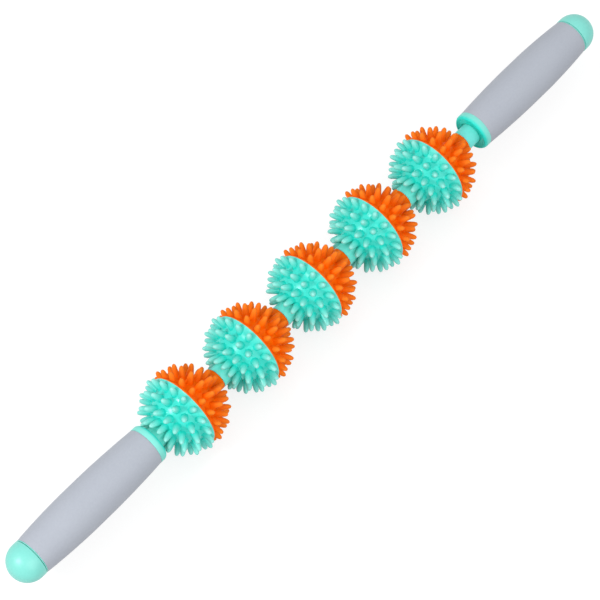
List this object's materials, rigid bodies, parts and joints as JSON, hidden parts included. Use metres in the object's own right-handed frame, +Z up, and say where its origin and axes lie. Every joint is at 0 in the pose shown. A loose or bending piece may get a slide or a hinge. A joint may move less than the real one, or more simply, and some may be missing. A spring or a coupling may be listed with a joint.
{
  "type": "massage roller stick",
  "caption": "Hand-held massage roller stick with a row of spiky two-colour balls that spin freely on a rod between two soft barrel-shaped grips with domed end caps.",
  "frame": {"origin": "the middle of the stick, on the rod's axis, at the centre of the whole part's bounding box", "axes": "+X along the rod towards the handle that the orange halves face, +Z up, +Y to the back"},
  "size_m": [0.4626, 0.0494, 0.0494],
  "materials": {
    "teal_shell": "satin moulded plastic",
    "orange_shell": "satin moulded plastic",
    "mint_trim": "satin moulded plastic",
    "grip": "soft touch, matte",
    "handle_core": "plain moulded plastic, hidden",
    "steel": "plain turned steel"
  },
  "bodies": {
    "stick": {"axle_rod": "steel", "end_spacer": "teal_shell", "left_inner_collar": "mint_trim", "right_inner_collar": "mint_trim", "left_handle_core": "handle_core", "right_handle_core": "handle_core", "left_grip": "grip", "right_grip": "grip", "left_end_cap": "mint_trim", "right_end_cap": "mint_trim", "left_clamp_nut": "steel", "right_clamp_nut": "steel"},
    "ball_1": {"ball_1_teal_half": "teal_shell", "ball_1_orange_half": "orange_shell"},
    "ball_2": {"ball_2_teal_half": "teal_shell", "ball_2_orange_half": "orange_shell"},
    "ball_3": {"ball_3_teal_half": "teal_shell", "ball_3_orange_half": "orange_shell"},
    "ball_4": {"ball_4_teal_half": "teal_shell", "ball_4_orange_half": "orange_shell"},
    "ball_5": {"ball_5_teal_half": "teal_shell", "ball_5_orange_half": "orange_shell"}
  },
  "joints": [
    {"name": "ball_1_spin", "type": "hinge", "parent": "stick", "child": "ball_1", "pos_m": [-0.1041, 0, 0], "axis": [1, 0, 0], "continuous": true},
    {"name": "ball_2_spin", "type": "hinge", "parent": "stick", "child": "ball_2", "pos_m": [-0.0541, 0, 0], "axis": [1, 0, 0], "continuous": true},
    {"name": "ball_3_spin", "type": "hinge", "parent": "stick", "child": "ball_3", "pos_m": [-0.0041, 0, 0], "axis": [1, 0, 0], "continuous": true},
    {"name": "ball_4_spin", "type": "hinge", "parent": "stick", "child": "ball_4", "pos_m": [0.0459, 0, 0], "axis": [1, 0, 0], "continuous": true},
    {"name": "ball_5_spin", "type": "hinge", "parent": "stick", "child": "ball_5", "pos_m": [0.0959, 0, 0], "axis": [1, 0, 0], "continuous": true}
  ]
}
